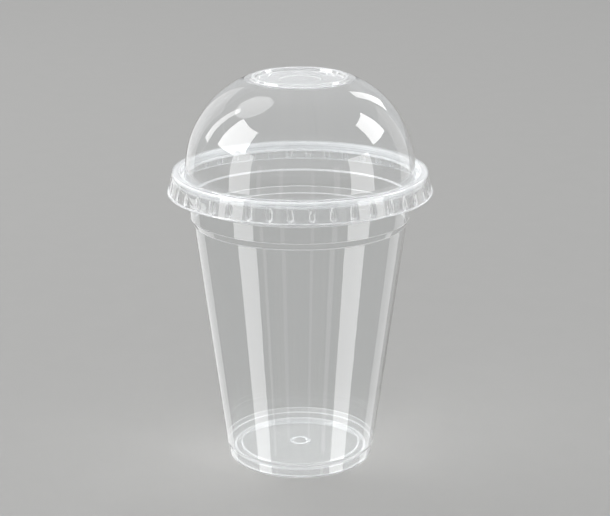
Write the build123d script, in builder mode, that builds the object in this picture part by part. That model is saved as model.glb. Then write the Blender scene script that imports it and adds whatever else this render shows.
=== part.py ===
from build123d import *

import os
from math import acos, cos, degrees, radians, sin, tan

# A clear thermoformed cup with a closed dome lid, each drawn from one thin sheet.
# Millimetres, +Z up. The origin is the centre of the foot, on the surface it stands on.

# ---- driving dimensions: cup ----
CUP_WALL = 0.4            # sheet thickness of the cup
RIM_R = 49.0              # outer radius of the rolled rim
RIM_TOP = 116.85          # height of the top of the rolled rim
ROLL_W = 2.2              # section width of the rim roll
ROLL_H = 2.9              # section height of the rim roll
ROLL_ROUND = 0.92         # roundness of the roll's corners, 1 for half circles
ROLL_OPEN = 0.4           # slit left between the end of the roll and the neck
NECK_SPARE = 1.5          # upright neck that goes on below the lid's plug
NECK_DROP = 5.95          # height of the slope between neck and stacking collar
NECK_IN = 3.85            # how far that slope goes in
COLLAR_H = 6.8            # height of the stacking collar
COLLAR_LEAN = 0.55        # how far the collar leans in on its way down
SHOULDER_DROP = 2.6       # height of the sloped shoulder under the collar
SHOULDER_IN = 1.35        # how far that shoulder goes in
BODY_FOOT_R = 29.75       # tapered body, outer radius at the step above the foot
BODY_FOOT_Z = 6.5         # height of that step's top edge
STEP_IN = 0.8             # how far the step goes in
STEP_DROP = 1.8           # height of the step
FOOT_R = 28.4             # outer radius of the foot where it meets the surface
FOOT_RING_W = 1.9         # width of the ring that the cup stands on
FOOT_DRAFT = 0.4          # how far the inside of the foot leans in on its way up
FLOOR_LIFT = 3.3          # clearance under the outer band of the floor
FLOOR_RISE = 0.5          # step up from the outer band to the middle of the floor
FLOOR_DISC_R = 23.3       # radius of the middle of the floor
MARK_R = 3.4              # plain ring moulded in the middle of the floor
MARK_W = 0.6              # width of that ring's top
MARK_H = 0.3              # height of that ring

# ---- driving dimensions: lid ----
LID_WALL = 0.35           # sheet thickness of the lid
SEAT_GAP = 0.1            # between the lid's flat ring and the rim under it
SIDE_GAP = 0.3            # between the side of the ring and the rim roll
PLUG_GAP = 0.12           # between the lid's plug and the cup's neck
SNAP_GAP = 0.15           # between the snap lugs and the rim roll
RING_H = 2.7              # height of the ring, flat top to crease
RING_FLARE = 0.15         # how far the side of the ring leans out on its way down
SKIRT_H = 5.6             # height of the skirt, crease to lower edge
SKIRT_FLARE = 1.05        # how far the skirt leans out on its way down
TRIM_W = 0.5              # width of the flat trimmed edge
PLUG_DEPTH = 3.3          # depth of the channel between ring and dome
PLUG_DRAFT = 0.3          # how far the plug leans in on its way down
CHANNEL_W = 1.15          # width of the channel at its foot
DOME_DRAFT = 5.4          # lean of the dome's straight foot, degrees
DOME_SPRING = 8.2         # height of that straight foot
DOME_BEND = 36.5          # radius of the dome's curve
CROWN_R = 21.1            # radius at which the dome's curve ends
CREST_R = 18.4            # raised crest around the top disc, outer radius
CREST_W = 0.9             # width of the crest's top
CREST_H = 1.1             # height of the crest
CREST_LEAN = 0.55         # how far the crest's outer side leans in on its way up
DISC_R = 16.8             # radius of the sunk top disc
DISC_SINK = 1.5           # depth of the disc below the crest
INNER_DISC_R = 7.8        # radius of the lower middle of the disc
INNER_DISC_SINK = 0.2     # depth of that middle

# ---- driving dimensions: snap lugs ----
LUG_COUNT = 40            # upright grooves dented into the skirt
LUG_START = 5.2           # turn of the first lug from +X, degrees
LUG_R = 0.85              # radius of each groove
LUG_FOOT = 0.6            # plain skirt below each groove
LUG_HEAD = 0.35           # from the crease down to the end of each groove's full width

# ---- rounding ----
FINE = 0.12               # crisp bends of the drawn sheet
SOFT = 0.5                # soft bends
BROAD = 1.0               # broad bends at neck and ring

# ---- sizes that follow from those ----
ring_top = RIM_TOP + SEAT_GAP + LID_WALL
neck_inner_r = RIM_R - ROLL_W
plug_top_r = neck_inner_r - PLUG_GAP - LID_WALL
plug_foot_z = ring_top - PLUG_DEPTH
dome_foot_r = plug_top_r - PLUG_DRAFT - CHANNEL_W
crease_r = RIM_R + SIDE_GAP + LID_WALL + RING_FLARE
crease_z = ring_top - RING_H
skirt_foot_z = crease_z - SKIRT_H + LID_WALL


def thin_section(outline, wall):
    """Section of a drawn sheet: an outline of edges, and its wall on their left."""
    with BuildSketch(Plane.XZ) as section:
        with BuildLine():
            add(outline)
            offset(amount=wall, side=Side.LEFT)
        make_face()
    return section.sketch


# ---- cup: outer face from the middle of the floor, round the foot, up and over the rim ----
disc_z = FLOOR_LIFT + FLOOR_RISE
mark_in = MARK_R - MARK_W / 2
mark_out = MARK_R + MARK_W / 2
ring_in_r = FOOT_R - FOOT_RING_W
neck_outer_r = neck_inner_r + CUP_WALL
neck_foot_z = plug_foot_z - LID_WALL - NECK_SPARE
collar_top_r = neck_outer_r - NECK_IN
collar_top_z = neck_foot_z - NECK_DROP
collar_foot_r = collar_top_r - COLLAR_LEAN
collar_foot_z = collar_top_z - COLLAR_H
shoulder_r = collar_foot_r - SHOULDER_IN
shoulder_z = collar_foot_z - SHOULDER_DROP
roll_out_r = RIM_R - CUP_WALL
roll_top_z = RIM_TOP - CUP_WALL
roll_foot_z = RIM_TOP - ROLL_H + CUP_WALL
roll_bend = ROLL_ROUND * (roll_out_r - neck_outer_r) / 2
inside_bend = CUP_WALL + FINE

cup_points = [
    (0, disc_z),
    (mark_in - MARK_H, disc_z),
    (mark_in, disc_z + MARK_H),
    (mark_out, disc_z + MARK_H),
    (mark_out + MARK_H, disc_z),
    (FLOOR_DISC_R, disc_z),
    (FLOOR_DISC_R + FLOOR_RISE, FLOOR_LIFT),
    (ring_in_r - FOOT_DRAFT, FLOOR_LIFT),
    (ring_in_r, 0),
    (FOOT_R, 0),
    (BODY_FOOT_R - STEP_IN, BODY_FOOT_Z - STEP_DROP),
    (BODY_FOOT_R, BODY_FOOT_Z),
    (shoulder_r, shoulder_z),
    (collar_foot_r, collar_foot_z),
    (collar_top_r, collar_top_z),
    (neck_outer_r, neck_foot_z),
    (neck_outer_r, roll_top_z),
    (roll_out_r, roll_top_z),
    (roll_out_r, roll_foot_z),
    (neck_outer_r + ROLL_OPEN, roll_foot_z),
]
cup_bends = [
    FINE, FINE, FINE, FINE,                          # ring mark
    FINE, inside_bend,                               # step in the floor
    SOFT, inside_bend, CUP_WALL + SOFT,              # round the foot
    SOFT, inside_bend,                               # step above the foot
    SOFT, inside_bend,                               # shoulder
    BROAD, CUP_WALL + BROAD,                         # collar to neck
    roll_bend, roll_bend, roll_bend,                 # rim roll
]

with BuildLine(mode=Mode.PRIVATE) as cup_outline:
    FilletPolyline(*cup_points, radius=cup_bends)

with BuildPart() as cup:
    add(thin_section(cup_outline.line, CUP_WALL))
    revolve(axis=Axis.Z)
cup.part.label = "cup"

# ---- lid: upper face from the trimmed edge, up the skirt, over the ring and the dome ----
draft = radians(DOME_DRAFT)
spring_r = dome_foot_r - DOME_SPRING * tan(draft)
spring_z = plug_foot_z + DOME_SPRING
bend_centre_r = spring_r - DOME_BEND * cos(draft)
crown_angle = acos((CROWN_R - bend_centre_r) / DOME_BEND)
crown_z = spring_z + DOME_BEND * (sin(crown_angle) - sin(draft))
crest_z = crown_z + CREST_H
sunk_z = crest_z - DISC_SINK
skirt_foot_r = crease_r + SKIRT_FLARE
inside_bend = LID_WALL + FINE

rim_points = [
    (skirt_foot_r + TRIM_W, skirt_foot_z),
    (skirt_foot_r, skirt_foot_z),
    (crease_r, crease_z),
    (crease_r - RING_FLARE, ring_top),
    (plug_top_r, ring_top),
    (plug_top_r - PLUG_DRAFT, plug_foot_z),
    (dome_foot_r, plug_foot_z),
    (spring_r, spring_z),
]
rim_bends = [
    FINE, FINE,                                      # trimmed edge, crease
    BROAD, SOFT,                                     # round the ring
    inside_bend, inside_bend,                        # channel
]
crown_points = [
    (CREST_R + CREST_LEAN, crown_z),
    (CREST_R, crest_z),
    (CREST_R - CREST_W, crest_z),
    (DISC_R, sunk_z),
    (INNER_DISC_R, sunk_z),
    (INNER_DISC_R - INNER_DISC_SINK, sunk_z - INNER_DISC_SINK),
    (0, sunk_z - INNER_DISC_SINK),
]
crown_bends = [FINE, inside_bend, inside_bend, FINE, FINE, FINE]

with BuildLine(mode=Mode.PRIVATE) as lid_outline:
    rim = FilletPolyline(*rim_points, radius=rim_bends)
    dome = JernArc(rim @ 1, rim % 1, DOME_BEND, degrees(crown_angle) - DOME_DRAFT)
    FilletPolyline(dome @ 1, *crown_points, radius=crown_bends)

# ---- snap lugs: upright grooves, backed by the sheet on their inner side ----
lug_axis_r = RIM_R + SNAP_GAP + LID_WALL + LUG_R
lug_foot_z = skirt_foot_z + LUG_FOOT + LUG_R
lug_head_z = crease_z - LUG_HEAD
mid_wall = LID_WALL / 2


def lug_form(radius):
    """One upright round-ended rod of the given radius, on the axis of the first lug."""
    with BuildPart() as form:
        with Locations((lug_axis_r, 0, (lug_foot_z + lug_head_z) / 2)):
            Cylinder(radius, lug_head_z - lug_foot_z)
        with Locations((lug_axis_r, 0, lug_foot_z), (lug_axis_r, 0, lug_head_z)):
            Sphere(radius)
    return form.part


with BuildPart() as lug_back:
    with BuildSketch(Plane.XZ):
        with BuildLine():
            Polyline(
                (RIM_R, skirt_foot_z),
                (skirt_foot_r - mid_wall, skirt_foot_z),
                (crease_r - mid_wall, crease_z),
                (crease_r - mid_wall - RING_FLARE, ring_top - BROAD),
                (RIM_R, ring_top - BROAD),
                close=True,
            )
        make_face()
    revolve(axis=Axis.Z)
    add(lug_form(LUG_R + LID_WALL), mode=Mode.INTERSECT)

with BuildPart() as lid:
    add(thin_section(lid_outline.line, LID_WALL))
    revolve(axis=Axis.Z)
    with PolarLocations(0, LUG_COUNT, start_angle=LUG_START):
        add(lug_back.part)
        add(lug_form(LUG_R), mode=Mode.SUBTRACT)
lid.part.label = "lid"

os.makedirs("parts", exist_ok=True)
export_step(cup.part, "parts/cup.step")
export_step(lid.part, "parts/lid.step")
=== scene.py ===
from math import acos, atan2, cos, hypot, pi, radians, sin, tan

import bpy
from mathutils import Matrix, Vector


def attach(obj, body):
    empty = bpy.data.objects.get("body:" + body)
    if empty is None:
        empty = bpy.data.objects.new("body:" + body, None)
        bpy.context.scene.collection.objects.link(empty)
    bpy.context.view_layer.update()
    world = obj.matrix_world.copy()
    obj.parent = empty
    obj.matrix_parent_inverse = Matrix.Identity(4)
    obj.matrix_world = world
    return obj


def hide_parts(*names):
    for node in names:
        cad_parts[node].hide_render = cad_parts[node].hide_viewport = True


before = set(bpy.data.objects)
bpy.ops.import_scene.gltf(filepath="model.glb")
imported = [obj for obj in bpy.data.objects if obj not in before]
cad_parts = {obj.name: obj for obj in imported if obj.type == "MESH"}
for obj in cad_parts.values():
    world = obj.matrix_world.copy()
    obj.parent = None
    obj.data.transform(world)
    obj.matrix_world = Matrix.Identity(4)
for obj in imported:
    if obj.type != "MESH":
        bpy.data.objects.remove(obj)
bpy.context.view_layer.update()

# A clear drink cup with a closed dome lid. Lengths here are metres; MM turns a drawing size into one.
MM = 0.001

# ---- sizes of the cup ----
CUP_WALL = 0.4 * MM
RIM_R = 49.0 * MM
RIM_TOP = 116.85 * MM
ROLL_W = 2.2 * MM
ROLL_H = 2.9 * MM
ROLL_ROUND = 0.92
ROLL_OPEN = 0.4 * MM
NECK_SPARE = 1.5 * MM
NECK_DROP = 5.95 * MM
NECK_IN = 3.85 * MM
COLLAR_H = 6.8 * MM
COLLAR_LEAN = 0.55 * MM
SHOULDER_DROP = 2.6 * MM
SHOULDER_IN = 1.35 * MM
BODY_FOOT_R = 29.75 * MM
BODY_FOOT_Z = 6.5 * MM
STEP_IN = 0.8 * MM
STEP_DROP = 1.8 * MM
FOOT_R = 28.4 * MM
FOOT_RING_W = 1.9 * MM
FOOT_DRAFT = 0.4 * MM
FLOOR_LIFT = 3.3 * MM
FLOOR_RISE = 0.5 * MM
FLOOR_DISC_R = 23.3 * MM
MARK_R = 3.4 * MM
MARK_W = 0.6 * MM
MARK_H = 0.3 * MM

# ---- sizes of the lid ----
LID_WALL = 0.35 * MM
SEAT_GAP = 0.1 * MM
SIDE_GAP = 0.3 * MM
PLUG_GAP = 0.12 * MM
SNAP_GAP = 0.15 * MM
RING_H = 2.7 * MM
RING_FLARE = 0.15 * MM
SKIRT_H = 5.6 * MM
SKIRT_FLARE = 1.05 * MM
TRIM_W = 0.5 * MM
PLUG_DEPTH = 3.3 * MM
PLUG_DRAFT = 0.3 * MM
CHANNEL_W = 1.15 * MM
DOME_DRAFT = radians(5.4)
DOME_SPRING = 8.2 * MM
DOME_BEND = 36.5 * MM
CROWN_R = 21.1 * MM
CREST_R = 18.4 * MM
CREST_W = 0.9 * MM
CREST_H = 1.1 * MM
CREST_LEAN = 0.55 * MM
DISC_R = 16.8 * MM
DISC_SINK = 1.5 * MM
INNER_DISC_R = 7.8 * MM
INNER_DISC_SINK = 0.2 * MM
LUG_COUNT = 40
LUG_START = radians(5.2)
LUG_R = 0.85 * MM
LUG_FOOT = 0.6 * MM
LUG_HEAD = 0.35 * MM

# ---- bends ----
FINE = 0.12 * MM
SOFT = 0.5 * MM
BROAD = 1.0 * MM

# ---- white painted into the clear sheet (painted highlight at tight bends and lug edges; in the zones partly real haze, partly painted highlight): radii, heights and share of white ----
BEND_PAINTED_HIGHLIGHT = 0.55          # painted highlight in tight bends
BEND_RUN = 0.5 * MM       # longest run of outline round a row in a tight bend
LUG_EDGE_PAINTED_HIGHLIGHT = 0.85           # painted highlight along the edges of the lugs
# zones of white on the cup, at the floor, the foot and the rim: partly real haze, partly painted highlight
CUP_HAZE_AND_HIGHLIGHT = [
    ((0, 30 * MM), (0, 4.6 * MM), 0.04),
    ((26 * MM, 30 * MM), (0, 6.6 * MM), 0.08),
    ((46.5 * MM, 49.1 * MM), (113.5 * MM, 117 * MM), 0.03),
]
# zones of white on the lid, at the top disc, the crest, the ring and the skirt: partly real haze, partly
# painted highlight
LID_HAZE_AND_HIGHLIGHT = [
    ((0, 16.9 * MM), (150 * MM, 154 * MM), 0.2),
    ((16.9 * MM, 21.2 * MM), (150 * MM, 154 * MM), 0.06),
    ((43 * MM, 50.2 * MM), (113.5 * MM, 117.5 * MM), 0.05),
    ((49 * MM, 52 * MM), (108 * MM, 115 * MM), 0.06),
]

# ---- finish of the sheet ----
PET_IOR = 1.57
CUP_DARK = (0.95, 0.96, 0.965, 1)
LID_DARK = (0.955, 0.96, 0.965, 1)
CLEAR_LIGHT = (0.985, 0.99, 0.99, 1)
CLEAR_ROUGH = 0.01
CLOUD_ROUGH = 0.03        # more roughness where the sheet is cloudy
CLOUD_SCALE = 45
CLOUD_DEPTH = 0.6         # share of the clouds in the sheet's unevenness
# white shader mixed into the clear sheet: painted highlight at bends and lug edges, partly real haze in the
# zones
HAZE_HIGHLIGHT_DIM = (0.88, 0.89, 0.9, 1)
HAZE_HIGHLIGHT_BRIGHT = (0.96, 0.965, 0.97, 1)
HAZE_HIGHLIGHT_ROUGH = 0.35
HAZE_HIGHLIGHT_LEAST = 0.8          # share of the painted white where the clouds are thinnest
HAZE_HIGHLIGHT_SPREAD = 0.4
SHADOW_TINT = (0.93, 0.93, 0.93, 1)
CUP_STREAKS = 30          # streaks round the cup, in a radian
LID_STREAKS = 24
STREAK_ALONG = 12         # streaks in a metre along the draw
STREAK_DEPTH = 0.006 * MM

# ---- studio ----
FLOOR_SIZE = 12
FLOOR_GAP = 0.05 * MM
FLOOR_COLOUR = (0.46, 0.455, 0.445, 1)
FLOOR_ROUGH = 0.7
GRAIN_SCALE = 60
GRAIN_DARK = 0.97
SKY_LOW = (0.62, 0.63, 0.64, 1)     # light level at the horizon
SKY_HIGH = (0.95, 0.96, 0.97, 1)    # light level overhead
KEY_PLACE = (-0.9, 0.5, 1.6)
KEY_SIZE = 0.9
KEY_POWER = 6

# ---- fineness of the meshes ----
SLICES = LUG_COUNT        # equal slices that make up each piece
PLAIN_STEPS = 6           # columns of faces across a plain slice
LUG_STEPS = 12            # columns of faces across a slice that has a lug
BEND_STEP = radians(24)   # turn of the sheet between two rows in a small bend
DOME_STEP = radians(4.0)  # turn of the sheet between two rows in the dome
LUG_ROW = 0.5 * MM        # height between two rows on the lugs
LUG_CROWD = 0.72          # how far the columns of a slice crowd onto its lug, from 0 to 1
LUG_SIDE = 3              # steepness of a lug's edge outside its half round
LUG_EDGE = 0.22 * MM      # softness of that edge
LUG_LINE = 0.22 * MM      # half width of the painted highlight line along a lug's edge
MERGE = 0.001 * MM        # points nearer than this are one
SUPPORT = 0.15 * MM       # row beside each bend, which keeps the straight runs flat


# ============================ outline of a drawn sheet ============================
# An outline is a list of (r, z, heading): a point of the sheet's outer face and the
# direction in which the outline runs there. The wall lies on its left.

def rounded(corners, radii, step=BEND_STEP):
    """Outline through corners, with each inner corner rounded to its radius."""
    path = []
    last = corners[0]
    for i, radius in enumerate(radii, start=1):
        before, here, after = corners[i - 1], corners[i], corners[i + 1]
        heading_in = atan2(here[1] - before[1], here[0] - before[0])
        heading_out = atan2(after[1] - here[1], after[0] - here[0])
        turn = (heading_out - heading_in + pi) % (2 * pi) - pi
        reach = radius * tan(abs(turn) / 2)
        start = (here[0] - reach * cos(heading_in), here[1] - reach * sin(heading_in))
        path += straight(last, start)
        path += bend(start, heading_in, radius, turn, step)[1:-1]
        last = (here[0] + reach * cos(heading_out), here[1] + reach * sin(heading_out))
    return path + straight(last, corners[-1])


def straight(a, b):
    """Rows of a straight run: its ends, and a support row beside each."""
    length = hypot(b[0] - a[0], b[1] - a[1])
    heading = atan2(b[1] - a[1], b[0] - a[0])
    stops = [0, length]
    if length > 4 * SUPPORT:
        stops = [0, SUPPORT, length - SUPPORT, length]
    return [(a[0] + s * cos(heading), a[1] + s * sin(heading), heading) for s in stops]


def bend(start, heading, radius, turn, step):
    """Rows of an arc that leaves start along heading and turns by turn."""
    side = 1 if turn > 0 else -1
    centre = (start[0] - side * radius * sin(heading), start[1] + side * radius * cos(heading))
    count = max(2, round(abs(turn) / step))
    rows = []
    for k in range(count + 1):
        a = heading + turn * k / count
        rows.append((centre[0] + side * radius * sin(a), centre[1] - side * radius * cos(a), a))
    return rows


def inner_face(outline, wall):
    """The same rows on the other face of the sheet, one wall to the left."""
    return [(r - wall * sin(a), z + wall * cos(a)) for r, z, a in outline]


def haze_and_highlight_shares(outline, zones):
    """Share of painted white at each row: a zone's own share (partly real haze, partly painted highlight),
    and a painted highlight where the sheet turns.
    """
    shares = []
    for i, (r, z, heading) in enumerate(outline):
        before = outline[max(i - 1, 0)]
        after = outline[min(i + 1, len(outline) - 1)]
        turn = abs(after[2] - before[2])
        run = hypot(after[0] - before[0], after[1] - before[1])
        share = BEND_PAINTED_HIGHLIGHT if turn > radians(8) and run < BEND_RUN else 0
        for (low_r, high_r), (low_z, high_z), zone_share in zones:
            if low_r <= r <= high_r and low_z <= z <= high_z:
                share = max(share, zone_share)
        shares.append(share)
    return shares


# ================================ outline of the cup ================================

ring_top = RIM_TOP + SEAT_GAP + LID_WALL
neck_inner_r = RIM_R - ROLL_W
plug_top_r = neck_inner_r - PLUG_GAP - LID_WALL
plug_foot_z = ring_top - PLUG_DEPTH
crease_r = RIM_R + SIDE_GAP + LID_WALL + RING_FLARE
crease_z = ring_top - RING_H
skirt_foot_r = crease_r + SKIRT_FLARE
skirt_foot_z = crease_z - SKIRT_H + LID_WALL
lug_axis_r = RIM_R + SNAP_GAP + LID_WALL + LUG_R
lug_foot_z = skirt_foot_z + LUG_FOOT + LUG_R
lug_head_z = crease_z - LUG_HEAD
lug_top_z = lug_head_z + LUG_R + LID_WALL


LUG_SIZES = {
    "Axis radius": lug_axis_r,
    "Radius": LUG_R,
    "Wall": LID_WALL,
    "Foot": lug_foot_z,
    "Head": lug_head_z,
    "Edge": LUG_EDGE,
}


def cup_outline():
    """From the middle of the floor, round the foot, up the body and over the rim."""
    disc_z = FLOOR_LIFT + FLOOR_RISE
    mark_in = MARK_R - MARK_W / 2
    mark_out = MARK_R + MARK_W / 2
    ring_in_r = FOOT_R - FOOT_RING_W
    neck_outer_r = neck_inner_r + CUP_WALL
    neck_foot_z = plug_foot_z - LID_WALL - NECK_SPARE
    collar_top_r = neck_outer_r - NECK_IN
    collar_top_z = neck_foot_z - NECK_DROP
    collar_foot_r = collar_top_r - COLLAR_LEAN
    collar_foot_z = collar_top_z - COLLAR_H
    roll_out_r = RIM_R - CUP_WALL
    roll_top_z = RIM_TOP - CUP_WALL
    roll_foot_z = RIM_TOP - ROLL_H + CUP_WALL
    roll_bend = ROLL_ROUND * (roll_out_r - neck_outer_r) / 2
    inside_bend = CUP_WALL + FINE
    corners = [
        (0, disc_z),
        (mark_in - MARK_H, disc_z),
        (mark_in, disc_z + MARK_H),
        (mark_out, disc_z + MARK_H),
        (mark_out + MARK_H, disc_z),
        (FLOOR_DISC_R, disc_z),
        (FLOOR_DISC_R + FLOOR_RISE, FLOOR_LIFT),
        (ring_in_r - FOOT_DRAFT, FLOOR_LIFT),
        (ring_in_r, 0),
        (FOOT_R, 0),
        (BODY_FOOT_R - STEP_IN, BODY_FOOT_Z - STEP_DROP),
        (BODY_FOOT_R, BODY_FOOT_Z),
        (collar_foot_r - SHOULDER_IN, collar_foot_z - SHOULDER_DROP),
        (collar_foot_r, collar_foot_z),
        (collar_top_r, collar_top_z),
        (neck_outer_r, neck_foot_z),
        (neck_outer_r, roll_top_z),
        (roll_out_r, roll_top_z),
        (roll_out_r, roll_foot_z),
        (neck_outer_r + ROLL_OPEN, roll_foot_z),
    ]
    radii = [
        FINE, inside_bend, FINE, FINE,
        FINE, inside_bend,
        SOFT, inside_bend, CUP_WALL + SOFT,
        SOFT, inside_bend,
        SOFT, inside_bend,
        BROAD, CUP_WALL + BROAD,
        roll_bend, roll_bend, roll_bend,
    ]
    return rounded(corners, radii)


# ================================ outline of the lid ================================

def lid_outline():
    """From the trimmed edge, up the skirt, over the ring and the dome, to the middle of the top."""
    spring_z = plug_foot_z + DOME_SPRING
    dome_foot_r = plug_top_r - PLUG_DRAFT - CHANNEL_W
    spring_r = dome_foot_r - DOME_SPRING * tan(DOME_DRAFT)
    crown_angle = acos((CROWN_R - spring_r) / DOME_BEND + cos(DOME_DRAFT))
    inside_bend = LID_WALL + FINE
    rim_corners = [
        (skirt_foot_r + TRIM_W, skirt_foot_z),
        (skirt_foot_r, skirt_foot_z),
        (crease_r, crease_z),
        (crease_r - RING_FLARE, ring_top),
        (plug_top_r, ring_top),
        (plug_top_r - PLUG_DRAFT, plug_foot_z),
        (dome_foot_r, plug_foot_z),
        (spring_r, spring_z),
    ]
    rim_radii = [FINE, FINE, BROAD, SOFT, inside_bend, inside_bend]
    rim = rounded(rim_corners, rim_radii)
    dome_turn = crown_angle - DOME_DRAFT
    spring = (spring_r, spring_z)
    dome = bend(spring, pi / 2 + DOME_DRAFT, DOME_BEND, dome_turn - SUPPORT / DOME_BEND, DOME_STEP)
    crown_z = spring_z + DOME_BEND * (sin(crown_angle) - sin(DOME_DRAFT))
    crest_z = crown_z + CREST_H
    sunk_z = crest_z - DISC_SINK
    crown_corners = [
        (CROWN_R, crown_z),
        (CREST_R + CREST_LEAN, crown_z),
        (CREST_R, crest_z),
        (CREST_R - CREST_W, crest_z),
        (DISC_R, sunk_z),
        (INNER_DISC_R, sunk_z),
        (INNER_DISC_R - INNER_DISC_SINK, sunk_z - INNER_DISC_SINK),
        (0, sunk_z - INNER_DISC_SINK),
    ]
    crown_radii = [FINE, inside_bend, inside_bend, FINE, FINE, FINE]
    crown = rounded(crown_corners, crown_radii)
    crown[0] = (CROWN_R, crown_z, (pi / 2 + crown_angle + pi) / 2)
    return lug_rows(rim) + dome[1:] + crown


def lug_rows(rows):
    """The same rows, with more of them up the skirt, where the lugs need them."""
    closer = [rows[0]]
    for a, b in zip(rows, rows[1:]):
        height = b[1] - a[1]
        on_skirt = a[0] > RIM_R and height > LUG_ROW and a[1] < lug_top_z
        count = round(height / LUG_ROW) if on_skirt else 1
        for k in range(1, count + 1):
            t = k / count
            closer.append((a[0] + t * (b[0] - a[0]), a[1] + t * height, b[2] if t == 1 else a[2]))
    return closer


# ================================ node trees ================================

class Flow:
    """A value on its way through a node tree. Arithmetic on it adds Math nodes."""

    def __init__(self, tree, socket):
        self.tree = tree
        self.socket = socket

    def math(self, operation, *values):
        node = self.tree.nodes.new("ShaderNodeMath")
        node.operation = operation
        for socket, value in zip(node.inputs, values):
            plug(self.tree, socket, value)
        return Flow(self.tree, node.outputs[0])

    def __add__(self, other):
        return self.math("ADD", self, other)

    def __sub__(self, other):
        return self.math("SUBTRACT", self, other)

    def __rsub__(self, other):
        return self.math("SUBTRACT", other, self)

    def __mul__(self, other):
        return self.math("MULTIPLY", self, other)

    def __rmul__(self, other):
        return self.math("MULTIPLY", other, self)

    def __truediv__(self, other):
        return self.math("DIVIDE", self, other)

    def __mod__(self, other):
        return self.math("MODULO", self, other)

    def floor(self):
        return self.math("FLOOR", self)

    def sin(self):
        return self.math("SINE", self)

    def cos(self):
        return self.math("COSINE", self)

    def sqrt(self):
        return self.math("SQRT", self)

    def atleast(self, other):
        return self.math("MAXIMUM", self, other)

    def size(self):
        return self.math("ABSOLUTE", self)

    def over(self, other):
        return self.math("GREATER_THAN", self, other)


def plug(tree, socket, value):
    """Links a Flow to a socket, or sets the socket to a plain value."""
    if isinstance(value, Flow):
        tree.links.new(value.socket, socket)
    else:
        socket.default_value = value


class Net:
    """A node tree under construction."""

    def __init__(self, tree):
        self.tree = tree

    def node(self, kind, settings=None, inputs=None):
        """Adds a node: its settings first, then the values or links of its sockets by name or number."""
        node = self.tree.nodes.new(kind)
        for key, value in (settings or {}).items():
            setattr(node, key, value)
        for key, value in (inputs or {}).items():
            plug(self.tree, node.inputs[key], value)
        return node

    def out(self, node, key=0):
        return Flow(self.tree, node.outputs[key])

    def flow(self, kind, settings=None, inputs=None, out=0):
        return self.out(self.node(kind, settings, inputs), out)


# ---- turned shapes: a profile swept round the upright axis ----

def turning_tree(name, lugs):
    """Geometry tree that sweeps the section it is given round Z, with or without the snap lugs."""
    tree = bpy.data.node_groups.new(name, "GeometryNodeTree")
    net = Net(tree)
    face = tree.interface
    face.new_socket("Section", in_out="INPUT", socket_type="NodeSocketGeometry")
    face.new_socket("Slices", in_out="INPUT", socket_type="NodeSocketInt")
    face.new_socket("Steps per slice", in_out="INPUT", socket_type="NodeSocketInt")
    face.new_socket("Start", in_out="INPUT", socket_type="NodeSocketFloat")
    if lugs:
        for size in LUG_SIZES:
            face.new_socket(size, in_out="INPUT", socket_type="NodeSocketFloat")
    face.new_socket("Material", in_out="INPUT", socket_type="NodeSocketMaterial")
    face.new_socket("Mesh", in_out="OUTPUT", socket_type="NodeSocketGeometry")
    given = net.node("NodeGroupInput")
    section = net.out(given, "Section")
    slices = net.out(given, "Slices")
    steps = net.out(given, "Steps per slice")

    rows = net.flow("GeometryNodeAttributeDomainSize", {"component": "MESH"}, {"Geometry": section})
    grid = net.flow("GeometryNodeMeshGrid", {}, {"Vertices X": slices * steps + 1, "Vertices Y": rows})
    index = net.flow("GeometryNodeInputIndex")
    column = (index / rows).floor()
    row = index % rows
    point = net.flow(
        "GeometryNodeSampleIndex",
        {"data_type": "FLOAT_VECTOR", "domain": "POINT"},
        {"Geometry": section, "Value": net.flow("GeometryNodeInputPosition"), "Index": row},
    )
    # share of painted white from the section: painted highlight at bends, partly real haze and partly painted
    # highlight in the zones
    haze_and_highlight = net.flow(
        "GeometryNodeSampleIndex",
        {"data_type": "FLOAT", "domain": "POINT"},
        {
            "Geometry": section,
            "Value": net.flow("GeometryNodeInputNamedAttribute", {"data_type": "FLOAT"}, {"Name": "Haze_and_painted_highlight"}),
            "Index": row,
        },
    )
    parts = net.node("ShaderNodeSeparateXYZ", {}, {0: point})
    radius = net.out(parts, "X")
    height = net.out(parts, "Z")
    turn = column / steps
    if lugs:
        size = {name: net.out(given, name) for name in LUG_SIZES}
        turn = turn - LUG_CROWD * (turn * (2 * pi)).sin() / (2 * pi)
        off_lug = turn - (turn + 0.5).floor()
        across = size["Axis radius"] * (off_lug * (2 * pi) / slices).sin()
        past = (size["Foot"] - height).atleast(height - size["Head"]).atleast(0)
        away = (across * across + past * past).sqrt()
        groove = size["Radius"] + net.out(parts, "Y") * size["Wall"]
        depth = (groove * groove - away * away).atleast(0).sqrt()
        dented = size["Axis radius"] - depth + LUG_SIDE * (away - groove).atleast(0)
        # a painted highlight line along each lug's edge on the skirt
        edge = 1 - (away - groove).size() / LUG_LINE
        on_skirt = radius.over(RIM_R)
        haze_and_highlight = haze_and_highlight.atleast(LUG_EDGE_PAINTED_HIGHLIGHT * edge * on_skirt)
        radius = radius.math("SMOOTH_MIN", radius, dented, size["Edge"])
    angle = net.out(given, "Start") + turn * (2 * pi) / slices
    place = net.flow(
        "ShaderNodeCombineXYZ",
        {},
        {"X": radius * angle.cos(), "Y": radius * angle.sin(), "Z": height},
    )
    swept = net.flow("GeometryNodeSetPosition", {}, {"Geometry": grid, "Position": place})
    stored_haze_and_highlight = net.flow(
        "GeometryNodeStoreNamedAttribute",
        {"data_type": "FLOAT", "domain": "POINT"},
        {"Geometry": swept, "Name": "Haze_and_painted_highlight", "Value": haze_and_highlight},
    )
    closed = net.flow("GeometryNodeMergeByDistance", {}, {"Geometry": stored_haze_and_highlight, "Distance": MERGE})
    smooth = net.flow("GeometryNodeSetShadeSmooth", {}, {"Geometry": closed})
    real = net.flow("GeometryNodeRealizeInstances", {}, {"Geometry": smooth})
    done = net.flow("GeometryNodeSetMaterial", {}, {"Geometry": real, "Material": net.out(given, "Material")})
    net.node("NodeGroupOutput", {}, {"Mesh": done})
    return tree


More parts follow.
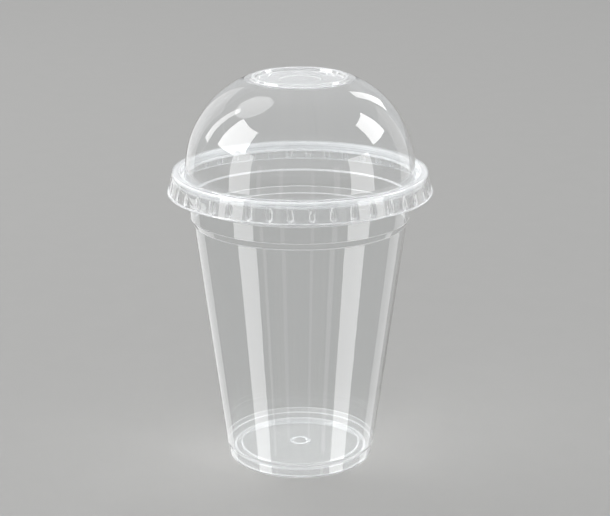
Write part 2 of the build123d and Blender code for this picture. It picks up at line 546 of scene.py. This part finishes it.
def turned_piece(name, node, body, outline, wall, zones, steps, start, lug_sizes, material):
    """One drawn sheet, swept round from its outline, in place of its CAD node."""
    outer = [(r, 0, z) for r, z, _ in outline]
    inner = [(max(r, 0), 1, z) for r, z in inner_face(outline, wall)]
    from_axis = outline[0][0] < MERGE
    points = outer + inner[::-1] if from_axis else inner[::-1] + outer
    section = bpy.data.meshes.new(name + " section")
    section.from_pydata(points, [(i, i + 1) for i in range(len(points) - 1)], [])
    # share of painted white per row: painted highlight at bends, partly real haze and partly painted
    # highlight in the zones
    shares = haze_and_highlight_shares(outline, zones)
    shares = shares + shares[::-1] if from_axis else shares[::-1] + shares
    section.attributes.new("Haze_and_painted_highlight", "FLOAT", "POINT").data.foreach_set("value", shares)
    source = bpy.data.objects.new(name + " section", section)
    bpy.context.scene.collection.objects.link(source)
    modifier = source.modifiers.new("Turning", "NODES")
    modifier.node_group = turning_tree(name + " turning", bool(lug_sizes))
    sizes = {"Slices": SLICES, "Steps per slice": steps, "Start": start, "Material": material}
    sizes.update(lug_sizes)
    for item in modifier.node_group.interface.items_tree:
        if item.in_out == "INPUT" and item.name in sizes:
            modifier[item.identifier] = sizes[item.name]
    bpy.context.view_layer.update()
    evaluated = source.evaluated_get(bpy.context.evaluated_depsgraph_get())
    mesh = bpy.data.meshes.new_from_object(evaluated)
    source.modifiers.clear()
    bpy.data.objects.remove(source)
    piece = bpy.data.objects.new(name, mesh)
    bpy.context.scene.collection.objects.link(piece)
    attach(piece, body)
    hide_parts(node)
    return piece


# ================================ materials ================================

def new_material(name):
    material = bpy.data.materials.new(name)
    material.use_nodes = True
    material.node_tree.nodes.clear()
    return material, Net(material.node_tree)


def tint(net, dark, light, amount):
    """A colour between two, by an amount from 0 to 1."""
    return net.flow(
        "ShaderNodeMix",
        {"data_type": "RGBA"},
        {0: amount, 6: dark, 7: light},
        out=2,
    )


def clear_sheet(name, dark, streaks):
    """Clear sheet plastic, faintly streaked along the way it was drawn. Lamps shine through it."""
    material, net = new_material(name)
    coordinates = net.flow("ShaderNodeTexCoord", out="Object")
    parts = net.node("ShaderNodeSeparateXYZ", {}, {0: coordinates})
    x = net.out(parts, "X")
    y = net.out(parts, "Y")
    z = net.out(parts, "Z")
    radius = (x * x + y * y).sqrt().atleast(MARK_R)
    around = net.flow(
        "ShaderNodeCombineXYZ",
        {},
        {"X": x / radius * streaks, "Y": y / radius * streaks, "Z": z * STREAK_ALONG},
    )
    streak = net.flow("ShaderNodeTexNoise", {}, {"Vector": around, "Scale": 1, "Detail": 1})
    cloud = net.flow("ShaderNodeTexNoise", {}, {"Vector": coordinates, "Scale": CLOUD_SCALE, "Detail": 0})
    colour = tint(net, dark, CLEAR_LIGHT, streak)
    bump = net.flow(
        "ShaderNodeBump",
        {},
        {"Strength": 1, "Distance": STREAK_DEPTH, "Height": streak + CLOUD_DEPTH * cloud},
    )
    plastic = net.flow(
        "ShaderNodeBsdfPrincipled",
        {},
        {
            "Base Color": colour,
            "Roughness": CLOUD_ROUGH * cloud + CLEAR_ROUGH,
            "IOR": PET_IOR,
            "Transmission Weight": 1,
            "Normal": bump,
        },
    )
    # white mixed in by the share stored on the mesh: painted highlight at bends and lug edges, partly real
    # haze in the zones
    haze_and_highlight = net.flow("ShaderNodeAttribute", {"attribute_name": "Haze_and_painted_highlight"}, out="Fac")
    white = net.flow(
        "ShaderNodeBsdfPrincipled",
        {},
        {"Base Color": tint(net, HAZE_HIGHLIGHT_DIM, HAZE_HIGHLIGHT_BRIGHT, cloud), "Roughness": HAZE_HIGHLIGHT_ROUGH, "IOR": PET_IOR},
    )
    share = haze_and_highlight * (HAZE_HIGHLIGHT_SPREAD * cloud + HAZE_HIGHLIGHT_LEAST)
    plastic = net.flow("ShaderNodeMixShader", {}, {0: share, 1: plastic, 2: white})
    through = net.flow("ShaderNodeBsdfTransparent", {}, {"Color": SHADOW_TINT})
    shadow_ray = net.flow("ShaderNodeLightPath", out="Is Shadow Ray")
    mixed = net.flow("ShaderNodeMixShader", {}, {0: shadow_ray, 1: plastic, 2: through})
    net.node("ShaderNodeOutputMaterial", {}, {"Surface": mixed})
    return material


def pale_floor(name, colour):
    """Matt surface with no sheen, so that the reflector cards don't show in it."""
    material, net = new_material(name)
    coordinates = net.flow("ShaderNodeTexCoord", out="Object")
    grain = net.flow("ShaderNodeTexNoise", {}, {"Vector": coordinates, "Scale": GRAIN_SCALE, "Detail": 4})
    darker = tuple(GRAIN_DARK * c for c in colour[:3]) + (1,)
    shade = tint(net, darker, colour, grain)
    matt = net.flow(
        "ShaderNodeBsdfPrincipled",
        {},
        {"Base Color": shade, "Roughness": FLOOR_ROUGH, "Specular IOR Level": 0},
    )
    net.node("ShaderNodeOutputMaterial", {}, {"Surface": matt})
    return material


cup_plastic = clear_sheet("Clear cup plastic", CUP_DARK, CUP_STREAKS)
lid_plastic = clear_sheet("Clear lid plastic", LID_DARK, LID_STREAKS)

cup = turned_piece(
    "Cup", "cup", "cup", cup_outline(), CUP_WALL, CUP_HAZE_AND_HIGHLIGHT, PLAIN_STEPS, 0, {}, cup_plastic
)
lid = turned_piece(
    "Dome_lid", "lid", "lid", lid_outline(), LID_WALL, LID_HAZE_AND_HIGHLIGHT,
    LUG_STEPS, LUG_START, LUG_SIZES, lid_plastic,
)

# ================================ studio ================================

CARD_DISTANCE = 1.5
CARD_CELLS = 6

# Reflector cards round the cup: name, turn from the camera to the right and rise, each (from, to)
# in degrees, and radiance. Clear plastic shows its form by what it mirrors.
CARDS = [
    ("Left_window", (-72, -49), (-40, 24), 4.6),
    ("Left_window_top", (-98, -60), (18, 48), 9.0),
    ("Left_pane", (-121, -113), (12, 46), 5.0),
    ("Left_rear", (-158, -128), (-40, 30), 1.3),
    ("Left_near", (-42, -38), (-40, 14), 1.3),
    ("Left_middle", (-20, -16), (-40, 14), 1.2),
    ("Right_window", (50, 76), (-40, 20), 4.6),
    ("Right_window_top", (86, 113), (23, 46), 9.0),
    ("Right_pane", (141, 151), (18, 42), 4.5),
    ("Right_rear", (116, 138), (-40, 30), 1.3),
    ("Right_near", (33, 39), (-40, 14), 1.4),
    ("Right_middle", (11, 14), (-40, 14), 1.2),
]


def placed(name, mesh, material):
    """A piece of the studio, which isn't part of the object."""
    mesh.materials.append(material)
    piece = bpy.data.objects.new(name, mesh)
    bpy.context.scene.collection.objects.link(piece)
    return piece


def card(name, turns, rises, glow):
    """A glowing patch of a large sphere round the cup, seen only in reflections."""
    points = []
    faces = []
    row = CARD_CELLS + 1
    for i in range(row):
        for j in range(row):
            turn = radians(turns[0] + (turns[1] - turns[0]) * i / CARD_CELLS)
            rise = radians(rises[0] + (rises[1] - rises[0]) * j / CARD_CELLS)
            level = Vector((sin(turn) * cos(rise), -cos(turn) * cos(rise), sin(rise)))
            points.append(Vector((0, 0, RIM_TOP)) + CARD_DISTANCE * level)
            if i < CARD_CELLS and j < CARD_CELLS:
                first = i * row + j
                faces.append((first, first + 1, first + row + 1, first + row))
    mesh = bpy.data.meshes.new(name)
    mesh.from_pydata(points, [], faces)
    material, net = new_material(name)
    light = net.flow("ShaderNodeEmission", {}, {"Color": (1, 1, 1, 1), "Strength": glow})
    net.node("ShaderNodeOutputMaterial", {}, {"Surface": light})
    piece = placed(name, mesh, material)
    piece.visible_camera = False
    piece.visible_diffuse = False
    piece.visible_transmission = False
    piece.visible_shadow = False


for settings in CARDS:
    card(*settings)

floor_mesh = bpy.data.meshes.new("Floor")
half = FLOOR_SIZE / 2
corners = [(-half, -half), (half, -half), (half, half), (-half, half)]
floor_mesh.from_pydata([(x, y, -FLOOR_GAP) for x, y in corners], [], [(0, 1, 2, 3)])
floor = placed("Floor", floor_mesh, pale_floor("Pale floor", FLOOR_COLOUR))
floor.visible_glossy = False

lamp = bpy.data.lights.new("Key", "AREA")
lamp.shape = "DISK"
lamp.size = KEY_SIZE
lamp.energy = KEY_POWER
key = bpy.data.objects.new("Key", lamp)
bpy.context.scene.collection.objects.link(key)
aim = -Vector(KEY_PLACE)
key.matrix_world = Matrix.Translation(KEY_PLACE) @ aim.to_track_quat("-Z", "Y").to_matrix().to_4x4()
key.visible_glossy = False

world = bpy.data.worlds.new("Studio")
bpy.context.scene.world = world
world.use_nodes = True
world.node_tree.nodes.clear()
air = Net(world.node_tree)
direction = air.node("ShaderNodeSeparateXYZ", {}, {0: air.flow("ShaderNodeTexCoord", out="Generated")})
rise = air.out(direction, "Z")
above = rise.over(0)
sky = tint(air, FLOOR_COLOUR, tint(air, SKY_LOW, SKY_HIGH, rise.atleast(0)), above)
glow = air.flow("ShaderNodeBackground", {}, {"Color": sky, "Strength": 1})
air.node("ShaderNodeOutputWorld", {}, {"Surface": glow})

# ================================ camera ================================

CAMERA_PLACE = Vector((0.0019, -0.637, 0.2753))
CAMERA_PITCH = radians(16.94)
LENS = 100.2

camera_data = bpy.data.cameras.new("Camera")
camera_data.lens = LENS
camera_data.sensor_width = 36
camera_data.clip_start = 0.01
camera = bpy.data.objects.new("Camera", camera_data)
bpy.context.scene.collection.objects.link(camera)
camera.matrix_world = Matrix.Translation(CAMERA_PLACE) @ Matrix.Rotation(pi / 2 - CAMERA_PITCH, 4, "X")
bpy.context.scene.camera = camera

scene = bpy.context.scene
scene.view_settings.view_transform = "Standard"
scene.cycles.max_bounces = 32
scene.cycles.transmission_bounces = 28
scene.cycles.glossy_bounces = 12
scene.cycles.transparent_max_bounces = 48
